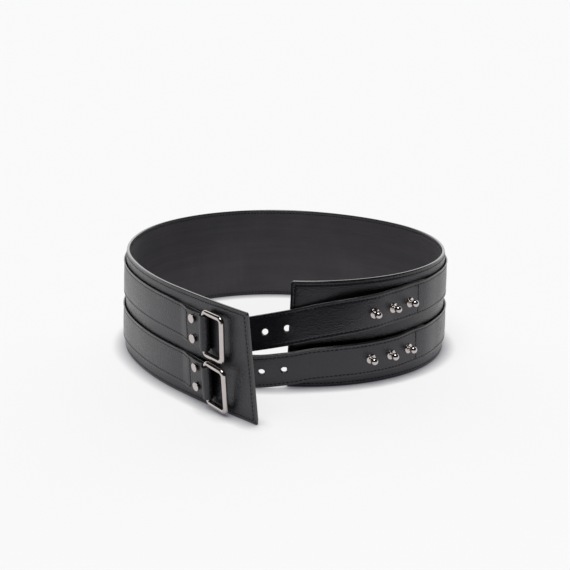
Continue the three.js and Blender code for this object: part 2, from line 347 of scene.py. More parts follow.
@dataclass
class Blank:
    """A piece of leather that lies flat: X runs along it, Y out of its back and Z up its width."""

    start: float
    end: float
    thick: float
    width: float
    mesh: Mesh = field(default_factory=bmesh.new, repr=False)

    def __post_init__(self) -> None:
        """Cuts the plain rectangle."""
        middle = Vector(((self.start + self.end) / 2, self.thick / 2, self.width / 2))
        size = Vector((self.end - self.start, self.thick, self.width))
        bmesh.ops.create_cube(self.mesh, size=1, matrix=Matrix.LocRotScale(middle, None, size))

    def bevel(self, edges: list[bmesh.types.BMEdge], offset: float, segments: int) -> None:
        """Rounds edges off."""
        bmesh.ops.bevel(self.mesh, geom=edges, offset=offset, offset_type="OFFSET", affect="EDGES",
                        segments=segments, profile=0.5, material=-1, clamp_overlap=False)

    def round_corners(self, radius: float, segments: int, places: Iterable[float]) -> None:
        """Rounds the corners of the outline.

        Args:
            radius: The corners' radius.
            segments: The number of lengths in each corner.
            places: The lengths of the ends whose corners are rounded.
        """
        ends = list(places)
        corners = [
            edge for edge in self.mesh.edges
            if abs(edge.verts[0].co.y - edge.verts[1].co.y) > self.thick / 2
            and any(abs(edge.verts[0].co.x - end) < TINY for end in ends)
        ]
        self.bevel(corners, radius, segments)
        bmesh.ops.remove_doubles(self.mesh, verts=self.mesh.verts[:], dist=WELD)

    def face_on(self, side: Side) -> bmesh.types.BMFace:
        """The widest flat face on a side."""
        self.mesh.normal_update()
        facing = [face for face in self.mesh.faces if face.normal.y * side.value > LEVEL]
        return max(facing, key=lambda face: face.calc_area())

    def round_edges(self, radius: float, segments: int) -> None:
        """Rounds the rims of both sides."""
        rims = [edge for side in Side for edge in self.face_on(side).edges]
        self.bevel(rims, radius, segments)

    def ring_in(self, steps: Sequence[float]) -> None:
        """Draws loops round both sides, each a step further in than the last."""
        for side in Side:
            for step in steps:
                bmesh.ops.inset_region(self.mesh, faces=[self.face_on(side)], thickness=step,
                                       use_even_offset=True, use_boundary=True)

    def split(self, axis: Axis, places: Iterable[float],
              faces: Iterable[bmesh.types.BMFace] | None = None) -> None:
        """Cuts new edges across the leather.

        Args:
            axis: The direction that the cuts cross.
            places: The cuts' places in that direction.
            faces: The faces to cut, or all of them.
        """
        only = None if faces is None else {face.index for face in faces}
        mark = self.mesh.faces.layers.int.get("split") or self.mesh.faces.layers.int.new("split")
        for face in self.mesh.faces:
            face[mark] = int(only is None or face.index in only)
        for place in places:
            picked = [face for face in self.mesh.faces if face[mark]]
            geometry = picked + list({edge for face in picked for edge in face.edges}) \
                + list({vert for face in picked for vert in face.verts})
            bmesh.ops.bisect_plane(self.mesh, geom=geometry, dist=CUT,
                                   plane_co=axis.value * place, plane_no=axis.value)

    def divide(self, keys: Sequence[float], step: float, fine: dict[int, float] | None = None) -> None:
        """Divides the lengthwise edges between cuts.

        Args:
            keys: The cuts' lengths, in order.
            step: The spacing to come near to.
            fine: Other spacings, by the number of the stretch.
        """
        for index, (low, high) in enumerate(zip(keys, keys[1:])):
            count = round((high - low) / (fine or {}).get(index, step))
            lengthwise = [
                edge for edge in self.mesh.edges
                if abs(min(v.co.x for v in edge.verts) - low) < TINY
                and abs(max(v.co.x for v in edge.verts) - high) < TINY
            ]
            if count > 1 and lengthwise:
                bmesh.ops.subdivide_edges(self.mesh, edges=lengthwise, cuts=count - 1)

    def punch(self, along: float, cell: float, rings: Sequence[Pair]) -> None:
        """Punches a round hole through the middle of the width.

        Args:
            along: The hole's length.
            cell: Half the side of the square of faces that the hole takes.
            rings: The radius and the height above the leather of each ring of the rim, outermost first.
        """
        middle = Vector((along, 0, self.width / 2))
        mouths: list[bmesh.types.BMEdge] = []
        for side in Side:
            level = self.thick if side is Side.FACE else 0.0
            block = []
            for face in self.mesh.faces:
                centre = face.calc_center_median()
                away = max(abs(centre.x - middle.x), abs(centre.z - middle.z))
                if away < cell and abs(centre.y - level) < TINY:
                    block.append(face)
            bmesh.ops.delete(self.mesh, geom=block, context="FACES")
            loop = [edge for edge in self.mesh.edges if edge.is_boundary and edge not in mouths]
            for radius, rise in rings:
                made = bmesh.ops.extrude_edge_only(self.mesh, edges=loop)["geom"]
                for vert in verts_in(made):
                    out = Vector((vert.co.x - middle.x, 0, vert.co.z - middle.z)).normalized() * radius
                    vert.co = middle + out + Axis.OUT.value * (level + rise * side.value)
                loop = [edge for edge in edges_in(made) if edge.is_boundary]
            mouths += loop
        bmesh.ops.bridge_loops(self.mesh, edges=mouths)

    def mark(self, name: str, share: Callable[[Vector], float]) -> None:
        """Writes a named share for each vertex, for the finish to read."""
        layer = self.mesh.verts.layers.float.new(name)
        for vert in self.mesh.verts:
            vert[layer] = share(vert.co)

    def lay_out(self) -> None:
        """Writes the flat leather's lengths and heights as its texture map, in metres."""
        layer = self.mesh.loops.layers.uv.new("flat")
        for face in self.mesh.faces:
            for loop in face.loops:
                loop[layer].uv = (loop.vert.co.x * METRES, loop.vert.co.z * METRES)

    def emboss(self, relief: Callable[[float, float, Side], float]) -> None:
        """Raises or presses the two sides.

        Args:
            relief: The height out of a side at a length and a height up the width.
        """
        for vert in self.mesh.verts:
            side = Side.FACE if vert.co.y > self.thick / 2 else Side.BACK
            share = smooth_step(abs(vert.co.y - self.thick / 2), 0, self.thick / 2)
            vert.co.y += side.value * share * relief(vert.co.x, vert.co.z, side)

    def bend(self, bend: Bend) -> None:
        """Takes each point from the flat to its place on the belt."""
        for vert in self.mesh.verts:
            vert.co = bend(vert.co)


def link(name: str, data: bpy.types.ID) -> bpy.types.Object:
    """Puts an object into the scene, with its mesh, lamp or camera."""
    made = bpy.data.objects.new(name, data)
    bpy.context.scene.collection.objects.link(made)
    return made


def as_data(mesh: Mesh, name: str) -> bpy.types.Mesh:
    """Makes plain mesh data of a mesh, which is used up."""
    data = bpy.data.meshes.new(name)
    mesh.to_mesh(data)
    mesh.free()
    return data


def flat_sheet(name: str, size: Pair, middle: Triple, material: Material) -> bpy.types.Object:
    """Lays a flat rectangle, in metres.

    Args:
        name: The sheet's name.
        size: Its length along X and along Y.
        middle: Its middle.
        material: Its finish.

    Returns:
        The object.
    """
    mesh = bmesh.new()
    matrix = Matrix.LocRotScale(Vector(middle), None, Vector((*size, 1)))
    bmesh.ops.create_grid(mesh, x_segments=1, y_segments=1, size=0.5, matrix=matrix)
    sheet = link(name, as_data(mesh, name))
    sheet.data.materials.append(material)
    return sheet


def install(mesh: Mesh, name: str, body: Body, slot: Slot, material: Material, *nodes: str) -> None:
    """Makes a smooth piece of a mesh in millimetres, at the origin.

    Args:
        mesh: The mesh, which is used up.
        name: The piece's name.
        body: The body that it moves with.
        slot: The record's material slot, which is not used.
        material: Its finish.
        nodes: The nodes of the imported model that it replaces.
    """
    mesh.faces.ensure_lookup_table()
    bmesh.ops.recalc_face_normals(mesh, faces=mesh.faces[:])
    bmesh.ops.scale(mesh, vec=Vector((METRES,) * 3), verts=mesh.verts[:])
    for face in mesh.faces:
        face.smooth = True
    piece = link(name, as_data(mesh, name))
    piece.data.materials.append(material)
    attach(piece, body.value)
    if nodes:
        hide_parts(*nodes)
    log.info("%s: %d faces on %s", piece.name, len(piece.data.polygons), body.value)


class Value:
    """A number that varies over a surface, on which an expression adds its Math nodes."""

    def __init__(self, sheet: "NodeSheet", socket: Socket) -> None:
        """Wraps an output socket of a sheet of nodes."""
        self.sheet = sheet
        self.socket = socket

    def joined(self, operation: str, first: Any, second: Any) -> "Value":
        """A Math node on two values or numbers."""
        node = self.sheet.add("ShaderNodeMath", {"operation": operation}, {0: first, 1: second})
        return Value(self.sheet, node.outputs[0])

    def __add__(self, other: Any) -> "Value":
        """The sum."""
        return self.joined("ADD", self, other)

    def __radd__(self, other: Any) -> "Value":
        """The sum, from the right."""
        return self.joined("ADD", other, self)

    def __sub__(self, other: Any) -> "Value":
        """The difference."""
        return self.joined("SUBTRACT", self, other)

    def __rsub__(self, other: Any) -> "Value":
        """The difference, from the right."""
        return self.joined("SUBTRACT", other, self)

    def __mul__(self, other: Any) -> "Value":
        """The product."""
        return self.joined("MULTIPLY", self, other)

    def __rmul__(self, other: Any) -> "Value":
        """The product, from the right."""
        return self.joined("MULTIPLY", other, self)

    def __pow__(self, other: Any) -> "Value":
        """The power."""
        return self.joined("POWER", self, other)

    def __rpow__(self, other: Any) -> "Value":
        """The power, from the right."""
        return self.joined("POWER", other, self)


def weighed(shares: Sequence[float], *values: Value) -> Value:
    """The sum of some values, each of them by its share."""
    total = values[0] * shares[0]
    for share, value in zip(shares[1:], values[1:]):
        total = total + value * share
    return total


class NodeSheet:
    """The nodes of one material or world."""

    def __init__(self, tree: bpy.types.NodeTree) -> None:
        """Clears the tree that the nodes go into."""
        self.tree = tree
        tree.nodes.clear()

    def add(self, kind: str, settings: dict[str, Any] | None = None,
            inputs: dict[Any, Any] | None = None) -> bpy.types.Node:
        """Adds a node.

        Args:
            kind: The node's type.
            settings: Its settings, or under "stops" the places and colours of its ramp.
            inputs: The numbers, colours, values or sockets of its inputs, by name or number.

        Returns:
            The node.
        """
        node = self.tree.nodes.new(kind)
        for name, setting in (settings or {}).items():
            if name == "stops":
                self.fill_ramp(node.color_ramp, setting)
            else:
                setattr(node, name, setting)
        for name, given in (inputs or {}).items():
            target = node.inputs[name]
            if isinstance(given, Value):
                given = given.socket
            if isinstance(given, Socket):
                self.tree.links.new(given, target)
            elif isinstance(given, tuple) and target.type == "RGBA":
                target.default_value = (*given, 1.0)
            else:
                target.default_value = given
        return node

    @staticmethod
    def fill_ramp(ramp: bpy.types.ColorRamp, stops: Sequence[tuple[float, Colour]]) -> None:
        """Sets the places and colours of a ramp."""
        while len(ramp.elements) < len(stops):
            ramp.elements.new(1.0)
        for element, (place, colour) in zip(ramp.elements, stops):
            element.position = place
            element.color = (*colour, 1.0)

    def value(self, kind: str, settings: dict[str, Any] | None = None,
              inputs: dict[Any, Any] | None = None, output: int | str = 0) -> Value:
        """Adds a node and gives one of its outputs as a value."""
        return Value(self, self.add(kind, settings, inputs).outputs[output])

    def attribute(self, name: str) -> Value:
        """The share that a mesh holds under a name."""
        return self.value("ShaderNodeAttribute", {"attribute_name": name}, output="Fac")

    def spot(self) -> Socket:
        """The place on the object."""
        return self.add("ShaderNodeTexCoord").outputs["Object"]

    def noise(self, spot: Socket, size: Pair) -> Value:
        """A noise by its scale and its detail."""
        return self.value("ShaderNodeTexNoise", None, {"Vector": spot, "Scale": size[0], "Detail": size[1]})

    def drawn(self, flat: Socket, size: Triple) -> Value:
        """A noise that is drawn out one way.

        Args:
            flat: The place on the flat leather.
            size: Its scale along the leather and up it, and its detail.

        Returns:
            The noise.
        """
        stretched = self.add("ShaderNodeMapping", None, {"Vector": flat, "Scale": (size[0], size[1], 1.0)})
        return self.noise(stretched.outputs[0], (1.0, size[2]))

    def shader(self, inputs: dict[Any, Any]) -> Socket:
        """A surface with these inputs."""
        return self.add("ShaderNodeBsdfPrincipled", None, inputs).outputs[0]

    def choose(self, share: Value, low: Socket, high: Socket) -> Socket:
        """A mix of two surfaces, with more of the second where the share is larger."""
        return self.add("ShaderNodeMixShader", None, {0: share, 1: low, 2: high}).outputs[0]

    def finish(self, surface: Socket, kind: str = "ShaderNodeOutputMaterial") -> None:
        """Gives the sheet its surface."""
        self.add(kind, None, {"Surface": surface})

    def relief(self, height: Value, strength: float, distance: float) -> Socket:
        """A surface normal that is roughened by a height."""
        inputs = {"Height": height, "Strength": strength, "Distance": distance}
        return self.add("ShaderNodeBump", None, inputs).outputs[0]

    def blend(self, share: Value, low: Any, high: Any) -> Socket:
        """A mix of two colours, with more of the second where the share is larger."""
        node = self.add("ShaderNodeMix", {"data_type": "RGBA"}, {0: share, LOW: low, HIGH: high})
        return node.outputs[MIXED]


def new_material(name: str) -> tuple[Material, NodeSheet]:
    """A new material and its empty sheet of nodes."""
    material = bpy.data.materials.new(name)
    material.use_nodes = True
    return material, NodeSheet(material.node_tree)


@dataclass(frozen=True)
class LeatherFinish:
    """Black leather with a fine grain, a matt grey back and painted edges.

    A noise is given by its scale and detail, or by its scale along the flat leather, its scale up it and
    its detail. The shares say how much each noise counts, in the order of their names.
    """

    name: str = "belt_leather"
    face: Colour = (0.0034, 0.0030, 0.0044)
    worn: Colour = (0.0060, 0.0055, 0.0074)
    back: Colour = (0.035, 0.032, 0.036)
    ridge_highlight_and_tone: Colour = (0.092, 0.085, 0.094)
    # the back's lighter colour: a painted highlight along its ridges and creases, and a random tone
    sheen: Colour = (0.975, 0.94, 1.0)
    paint: Colour = (0.010, 0.009, 0.009)
    face_index: float = 1.56
    face_gloss: float = 0.30
    back_index: float = 1.4
    back_gloss: float = 0.72
    paint_index: float = 1.75
    paint_gloss: float = 0.17
    pores: float = 820.0
    fine: Pair = (1804.0, 2.0)
    clouds: Pair = (28.0, 3.0)
    patches: Pair = (16.0, 1.0)
    ridges: Triple = (6.0, 130.0, 5.0)
    creases: Triple = (210.0, 16.0, 3.0)
    streaks: Triple = (14.0, 420.0, 4.0)
    patch_edge: Pair = (0.50, 0.64)
    pores_fine_streaks: Triple = (0.8, 0.5, 0.5)
    grain_depth: float = 0.00022
    clouds_streaks_fine: Triple = (0.2, 0.1, 0.16)
    paint_fine: float = 0.06
    ridges_clouds_creases: Triple = (0.5, 0.35, 0.3)
    fine_ridges_creases: Triple = (0.1, 1.0, 0.6)
    nap_depth: float = 0.0011

    def material(self) -> Material:
        """The leather's material, which reads the shares named edge and lining."""
        material, sheet = new_material(self.name)
        spot = sheet.spot()
        flat = sheet.add("ShaderNodeUVMap", {"uv_map": "flat"}).outputs[0]
        fine = sheet.noise(spot, self.fine)
        clouds = sheet.noise(spot, self.clouds)
        face = self.face_side(sheet, spot, fine, clouds, sheet.drawn(flat, self.streaks))
        back = self.back_side(sheet, spot, flat, fine, clouds)
        paint = sheet.shader({"Base Color": self.paint, "IOR": self.paint_index,
                              "Roughness": self.paint_gloss + (fine - 0.5) * self.paint_fine})
        sides = sheet.choose(sheet.attribute("lining"), face, back)
        sheet.finish(sheet.choose(sheet.attribute("edge"), sides, paint))
        return material

    def face_side(self, sheet: NodeSheet, spot: Socket, fine: Value, clouds: Value,
                  streaks: Value) -> Socket:
        """The smooth side, with its pores.

        Args:
            sheet: The material's nodes.
            spot: The place on the object.
            fine: The fine noise.
            clouds: The broad noise.
            streaks: The noise that is drawn out along the leather.

        Returns:
            The surface.
        """
        pores = sheet.value("ShaderNodeTexVoronoi", {"feature": "F1"},
                            {"Vector": spot, "Scale": self.pores, "Randomness": 1.0})
        grain = weighed(self.pores_fine_streaks, pores, fine, streaks)
        sway = weighed(self.clouds_streaks_fine, clouds - 0.5, streaks - 0.5, fine - 0.5)
        return sheet.shader({
            "Base Color": sheet.blend(clouds, self.face, self.worn), "IOR": self.face_index,
            "Specular Tint": self.sheen, "Roughness": self.face_gloss + sway,
            "Normal": sheet.relief(grain, 1.0, self.grain_depth),
        })

    def back_side(self, sheet: NodeSheet, spot: Socket, flat: Socket, fine: Value,
                  clouds: Value) -> Socket:
        """The matt side, creased upright in patches, with a random tone and a painted highlight along its
        ridges and creases.

        Args:
            sheet: The material's nodes.
            spot: The place on the object.
            flat: The place on the flat leather.
            fine: The fine noise.
            clouds: The broad noise.

        Returns:
            The surface.
        """
        ridges = sheet.drawn(flat, self.ridges)
        low, high = self.patch_edge
        patches = sheet.noise(spot, self.patches)
        worked = sheet.value("ShaderNodeMapRange", None, {0: patches, 1: low, 2: high})
        creases = sheet.drawn(flat, self.creases) * worked
        # the back's colour share: a painted highlight on the ridges and creases, with random clouds of tone
        noise_mix = weighed(self.ridges_clouds_creases, ridges, clouds, creases)
        nap = weighed(self.fine_ridges_creases, fine, ridges, creases)
        return sheet.shader({
            "Base Color": sheet.blend(noise_mix, self.back, self.ridge_highlight_and_tone), "IOR": self.back_index,
            "Roughness": self.back_gloss, "Normal": sheet.relief(nap, 1.0, self.nap_depth),
        })


@dataclass(frozen=True)
class ThreadFinish:
    """Black waxed thread."""

    name: str = "waxed_thread"
    colour: Colour = (0.006, 0.006, 0.007)
    gloss: float = 0.6
    gloss_sway: float = 0.2
    index: float = 1.2
    strands: Pair = (5000.0, 2.0)
    strength: float = 0.5
    depth: float = 0.0001

    def material(self) -> Material:
        """The thread's material, with its strands."""
        material, sheet = new_material(self.name)
        strands = sheet.noise(sheet.spot(), self.strands)
        sheet.finish(sheet.shader({
            "Base Color": self.colour, "Roughness": self.gloss + (strands - 0.5) * self.gloss_sway,
            "Normal": sheet.relief(strands, self.strength, self.depth), "IOR": self.index,
        }))
        return material


@dataclass(frozen=True)
class NickelFinish:
    """Polished nickel plate with faint rubbed marks."""

    name: str = "polished_nickel"
    colour: Colour = (0.56, 0.515, 0.50)
    rubbed: Colour = (0.49, 0.45, 0.44)
    gloss: float = 0.06
    gloss_sway: float = 0.05
    clouds: Pair = (240.0, 3.0)
    scratches: Pair = (2600.0, 2.0)
    scratch_share: float = 0.3
    strength: float = 0.25
    depth: float = 0.00006

    def material(self) -> Material:
        """The metal's material."""
        material, sheet = new_material(self.name)
        spot = sheet.spot()
        clouds = sheet.noise(spot, self.clouds)
        scratches = sheet.noise(spot, self.scratches)
        noise_mix = clouds + scratches * self.scratch_share
        sheet.finish(sheet.shader({
            "Base Color": sheet.blend(clouds, self.colour, self.rubbed), "Metallic": 1.0,
            "Roughness": self.gloss + (scratches - 0.5) * self.gloss_sway,
            "Normal": sheet.relief(noise_mix, self.strength, self.depth),
        }))
        return material


@dataclass(frozen=True)
class Finishes:
    """The finishes of the whole belt."""

    leather: Material
    thread: Material
    metal: Material


@dataclass
class Sewing:
    """Rows of stitches that are laid in the flat and bent with the leather that they sew."""

    name: str
    pitch: float = 3.3
    length: float = 2.2
    radius: float = 0.33
    sides: int = 6
    rounds: int = 5
    mesh: Mesh = field(default_factory=bmesh.new, repr=False)

    def stitch(self, mesh: Mesh, middle: Vector, toward: Vector) -> None:
        """Lays one stitch in the flat.

        Args:
            mesh: The mesh that it goes into.
            middle: The stitch's middle.
            toward: Its direction.
        """
        turned = Axis.UP.value.rotation_difference(toward.normalized())
        size = Vector((self.radius, self.radius, self.length / 2))
        bmesh.ops.create_uvsphere(mesh, u_segments=self.sides, v_segments=self.rounds, radius=1,
                                  matrix=Matrix.LocRotScale(middle, turned, size))

    def row(self, start: Vector, end: Vector, bend: Bend) -> None:
        """Sews a straight row.

        Args:
            start: Where the row starts, in the flat.
            end: Where it ends.
            bend: The way from the flat to the belt.
        """
        run = end - start
        count = max(1, round(run.length / self.pitch))
        step = run / count
        mesh = bmesh.new()
        self.stitch(mesh, start + step / 2, run)
        copies = 1
        while copies < count:
            made = bmesh.ops.duplicate(mesh, geom=mesh.verts[:] + mesh.edges[:] + mesh.faces[:])["geom"]
            bmesh.ops.translate(mesh, verts=verts_in(made), vec=step * copies)
            copies *= 2
        past = [vert for vert in mesh.verts if (vert.co - end).dot(run) > 0]
        bmesh.ops.delete(mesh, geom=past, context="VERTS")
        self.take(mesh, bend)

    def arc(self, centre: Vector, radius: float, angles: Pair, bend: Bend) -> None:
        """Sews a row round part of a circle.

        Args:
            centre: The circle's centre, in the flat.
            radius: The circle's radius.
            angles: The first and last angle from straight along, in degrees.
            bend: The way from the flat to the belt.
        """
        first, last = (math.radians(angle) for angle in angles)
        count = round(abs(last - first) * radius / self.pitch)
        mesh = bmesh.new()
        for index in range(count):
            angle = first + (last - first) * (index + 0.5) / count
            out = Vector((math.cos(angle), 0, math.sin(angle)))
            self.stitch(mesh, centre + out * radius, Vector((-out.z, 0, out.x)))
        self.take(mesh, bend)

    def take(self, mesh: Mesh, bend: Bend) -> None:
        """Bends a row and adds it to the piece."""
        for vert in mesh.verts:
            vert.co = bend(vert.co)
        data = as_data(mesh, "row")
        self.mesh.from_mesh(data)
        bpy.data.meshes.remove(data)

    def build(self, finishes: Finishes) -> None:
        """Makes the piece and dresses it."""
        install(self.mesh, self.name, Body.BELT, Slot.LEATHER, finishes.thread)


@dataclass
class Panel:
    """The broad panel: leather and lining sewn together all round, with painted edges.

    Each kind of wave has the length and the height of its waves as its size. The calm margin inside the
    outline has none, and each kind is at its full height a little further in.
    """

    path: BeltPath
    length: float = 900.0
    height: float = 90.0
    thick: float = 3.0
    end_slant: float = 4.0
    slant_run: float = 60.0
    corner: float = 2.0
    rounding: float = 0.9
    segments: int = 4
    paint_edge: Pair = (0.5, 0.95)
    taper: float = 0.30
    foot_taper: float = 0.75
    seam: float = 3.1
    groove: float = 0.36
    groove_width: float = 0.45
    stitch_sink: float = 0.2
    puff: float = 0.12
    puff_inset: float = 6.82
    calm: float = 4.0
    wave: float = 0.10
    wave_size: Pair = (55.0, 45.0)
    wave_inset: float = 16.0
    wrinkle: float = 0.16
    wrinkle_inset: float = 12.0
    crease_size: Pair = (4.5, 30.0)
    ripple_size: Pair = (150.0, 5.0)
    patch_size: Pair = (60.0, 40.0)
    patch_edge: Pair = (-0.1, 0.5)
    rim_loop: float = 1.6
    groove_loops: tuple[float, ...] = (-0.8, -0.4, 0.0, 0.4, 0.8, 2.2)
    step: float = 2.5
    step_across: float = 3.0

    def inset(self, along: float, height: float) -> float:
        """How far a place in the flat lies inside the outline."""
        return min(along, self.length - along, height, self.height - height)

    def relief(self, along: float, height: float, side: Side) -> float:
        """The height of the surface above flat leather.

        Args:
            along: The length.
            height: The height up the panel.
            side: The side that is looked at.

        Returns:
            The height out of that side.
        """
        inset = self.inset(along, height)
        groove = -self.groove * bump(inset - self.seam, self.groove_width)
        taper = self.foot_taper if height < self.seam else self.taper
        margin = -taper * (1 - smooth_step(inset, 0, self.seam))
        swell = self.puff * bump(inset - self.puff_inset, self.seam)
        waves = self.wave * ripple(self.wave_size, along, height, layer=3 * side.value)
        waves *= smooth_step(inset, self.calm, self.wave_inset)
        if side is Side.BACK:
            waves += self.wrinkles(along, height) * smooth_step(inset, self.calm, self.wrinkle_inset)
        return groove + margin + swell + waves

    def wrinkles(self, along: float, height: float) -> float:
        """The fine upright creases and long ripples that bending leaves in the lining."""
        patch = smooth_step(ripple(self.patch_size, along, height, layer=5), *self.patch_edge)
        creases = ripple(self.crease_size, along, height, layer=9) * patch
        return self.wrinkle * (creases + ripple(self.ripple_size, along, height, layer=2))

    def bend(self, flat: Vector) -> Vector:
        """Takes a point from the flat to the belt, with the ends slanted in towards the top."""
        slant = self.end_slant * flat.z / self.height
        ease = smooth_step(flat.x, self.slant_run, 0) - smooth_step(flat.x, self.length - self.slant_run,
                                                                   self.length)
        return self.path.place(flat.x + slant * ease, flat.y, flat.z)

    def loops(self, size: float) -> list[float]:
        """The places of the cuts beside both edges of a size, for the rims and the grooves."""
        near = [self.rim_loop, *(self.seam + place for place in self.groove_loops)]
        return near + [size - place for place in reversed(near)]

    def build(self, finishes: Finishes) -> None:
        """Makes the panel and dresses it."""
        blank = Blank(0, self.length, self.thick, self.height)
        blank.round_corners(self.corner, self.segments, (0, self.length))
        blank.round_edges(self.rounding, self.segments)
        across = self.loops(self.height)
        half = len(across) // 2
        between = stepped(across[half - 1], across[half], self.step_across)[1:-1]
        blank.split(Axis.UP, across[:half] + between + across[half:])
        along = self.loops(self.length)
        blank.split(Axis.ALONG, along)
        blank.divide(along, self.step)
        blank.lay_out()
        blank.mark("edge", lambda co: 1 - smooth_step(self.inset(co.x, co.z), *self.paint_edge))
        blank.mark("lining", lambda co: float(co.y < self.thick / 2))
        blank.emboss(self.relief)
        blank.bend(self.bend)
        install(blank.mesh, "waist_panel_leather", Body.BELT, Slot.LEATHER, finishes.leather, "waist_panel")

    def sew(self, finishes: Finishes) -> None:
        """Makes the stitches all round the panel, on both sides."""
        sewing = Sewing("panel_stitches")
        low, high = self.seam, self.height - self.seam
        first, last = self.seam, self.length - self.seam
        for level in (self.thick - self.stitch_sink, self.stitch_sink):
            for height in (low, high):
                sewing.row(Vector((first, level, height)), Vector((last, level, height)), self.bend)
            for along in (first, last):
                sewing.row(Vector((along, level, low)), Vector((along, level, high)), self.bend)
        sewing.build(finishes)


@dataclass
class Strap:
    """A narrow strap: an outer ply from the tongue's tip to the ring and back, and the tongue's lining.

    A run is a length along the outer ply in the flat. Up to the fold it is the length along the belt too.
    """

    name: str
    course: StrapCourse
    pivot: float
    first_hole: float
    cross_seams: Pair
    rivet_line: float
    first_stud: float
    stud_drop: float
    creases: tuple[float, ...] = ()
    tip: float = -80.0
    tip_segments: int = 12
    tip_flat: float = 0.008
    lining_end: float = 124.5
    folded_end: float = 814.0
    ply: float = 1.5
    skived: float = 1.2
    skive: float = 10.0
    tongue_skive: float = 24.0
    lead: float = 2.0
    full_again: Pair = (4.0, 12.0)
    end_thinning: float = 0.8
    hollow: float = 2.75
    trim: float = 0.4
    trim_run: float = 20.0
    rise: float = 8.0
    crest: float = 0.5
    hole_radius: float = 2.75
    hole_pitch: float = 18.5
    hole_count: int = 4
    hole_rim: tuple[Pair, ...] = ((1.1, 0.0), (0.6, 0.12), (0.15, 0.06), (0.0, -0.25))
    seam: float = 2.6
    groove: float = 0.26
    groove_width: float = 0.40
    cross_groove: float = 0.52
    seam_fade: Pair = (-1.0, 1.0)
    stitch_sink: float = 0.15
    puff: float = 0.22
    flatter: float = 0.7
    flatter_run: Pair = (-2.0, 4.0)
    wave: float = 0.10
    wave_size: Pair = (30.0, 20.0)
    wave_edge: Pair = (3.0, 8.0)
    crease: float = 0.20
    crease_width: float = 0.8
    crease_edge: Pair = (2.0, 7.0)
    lip: float = 0.7
    lip_width: float = 3.6
    lip_curl: float = 1.6
    lip_start: Pair = (-4.0, 8.0)
    lip_end: float = 12.0
    rounding: float = 0.5
    segments: int = 3
    paint_share: float = 0.5
    paint_edge: Pair = (0.35, 0.75)
    lining_share: float = 0.6
    loops: tuple[float, ...] = (0.5, 0.8, 0.4, 0.4, 0.4, 0.4, 0.8)
    step: float = 2.5
    step_across: float = 1.6
    step_tip: float = 1.8
    step_skive: float = 2.0
    step_end: float = 1.0
    step_rise: float = 0.5
    step_fold: float = 0.4
    skive_lead: float = 2.5
    end_lead: float = 3.0
    beyond: float = 1.0
    tail: float = 0.9
    cell: float = 6.0
    seam_run: float = 1.2
    crease_run: float = 1.8

    @property
    def width(self) -> float:
        """The strap's width."""
        return self.course.width

    @property
    def bar_depth(self) -> float:
        """How far out the ring's bar lies from the strap's back."""
        return self.skived + self.hollow

    @property
    def fold_radius(self) -> float:
        """The radius of the fold at the middle of the ply."""
        return self.hollow + self.skived / 2

    @property
    def fold_end(self) -> float:
        """The outer ply's run at which it has gone right round the bar."""
        return self.pivot + math.pi * self.fold_radius

    @property
    def outer_end(self) -> float:
        """The outer ply's whole run, to its end behind the strap."""
        return self.fold_end + self.pivot - self.folded_end

    @property
    def holes(self) -> list[float]:
        """The lengths of the punched holes."""
        return [self.first_hole - self.hole_pitch * i for i in range(self.hole_count)]

    def inset(self, run: float, up: float) -> float:
        """How far a place in the flat lies inside the outline, which is round at the tip."""
        radius = self.width / 2
        if run < self.tip + radius:
            return radius - math.hypot(run - self.tip - radius, up - radius)
        return min(up, self.width - up)

    def middle_depth(self, run: float) -> float:
        """How far out the middle of the outer ply lies, up to the bar."""
        single, double = self.ply / 2, self.ply * 1.5
        crest = self.bar_depth + self.fold_radius
        down = smooth_step(run, self.lining_end - self.lead, self.lining_end + self.tongue_skive)
        up = smooth_step(run, self.folded_end - self.lead, self.folded_end + self.skive)
        over = smooth_step(run, self.pivot - self.rise, self.pivot - self.crest)
        flat = double + (single - double) * down + (double - single) * up
        return flat + (crest - flat) * over

    def outer_bend(self, flat: Vector) -> Vector:
        """Takes a point of the outer ply from the flat to the belt.

        Args:
            flat: Its run, its depth in the ply and its height up the width.

        Returns:
            The point, in millimetres.
        """
        run, off, up = flat.x, flat.y - self.ply / 2, flat.z
        thinned = self.skived / self.ply
        regained = smooth_step(run - self.fold_end, *self.full_again)
        thin = smooth_step(run, self.pivot - self.rise, self.pivot - self.lead) - regained
        off *= 1 + (thinned - 1) * thin
        if run <= self.pivot:
            span = 0.25
            rise = self.middle_depth(run + span) - self.middle_depth(run - span)
            slope = math.atan2(rise, 2 * span) if run < self.pivot - span else 0.0
            along, depth = run, self.middle_depth(run)
        elif run < self.fold_end:
            slope = -(run - self.pivot) / self.fold_radius
            along = self.pivot - self.fold_radius * math.sin(slope)
            depth = self.bar_depth + self.fold_radius * math.cos(slope)
        else:
            slope = -math.pi
            along = self.pivot - (run - self.fold_end)
            end = smooth_step(along, self.folded_end + self.skive, self.folded_end)
            thinning = 1 - self.end_thinning * end
            depth = (self.skived + (self.ply - self.skived) * regained) / 2 * thinning
            off *= thinning
        along -= off * math.sin(slope)
        depth += off * math.cos(slope) + self.lift(along, up)
        return self.course.place(along, self.trimmed(along, up), depth)

    def trimmed(self, along: float, up: float) -> float:
        """A height up the width, drawn in a little where the strap is trimmed for the ring."""
        middle = self.width / 2
        share = self.trim / middle * smooth_step(along, self.folded_end, self.folded_end + self.trim_run)
        return middle + (up - middle) * (1 - share)

    def lift(self, along: float, up: float) -> float:
        """How far the strap's upper edge curls off the panel where it is sewn down."""
        sewn = smooth_step(along - self.cross_seams[0], *self.lip_start)
        sewn -= smooth_step(along, self.folded_end - self.lip_end, self.folded_end)
        past = max(0.0, up - (self.width - self.lip_width)) / self.lip_width
        return self.lip * sewn * past ** self.lip_curl

    def lining_bend(self, flat: Vector) -> Vector:
        """Takes a point of the tongue's lining from the flat to the belt."""
        return self.course.place(flat.x, flat.z, flat.y + self.lift(flat.x, flat.z))

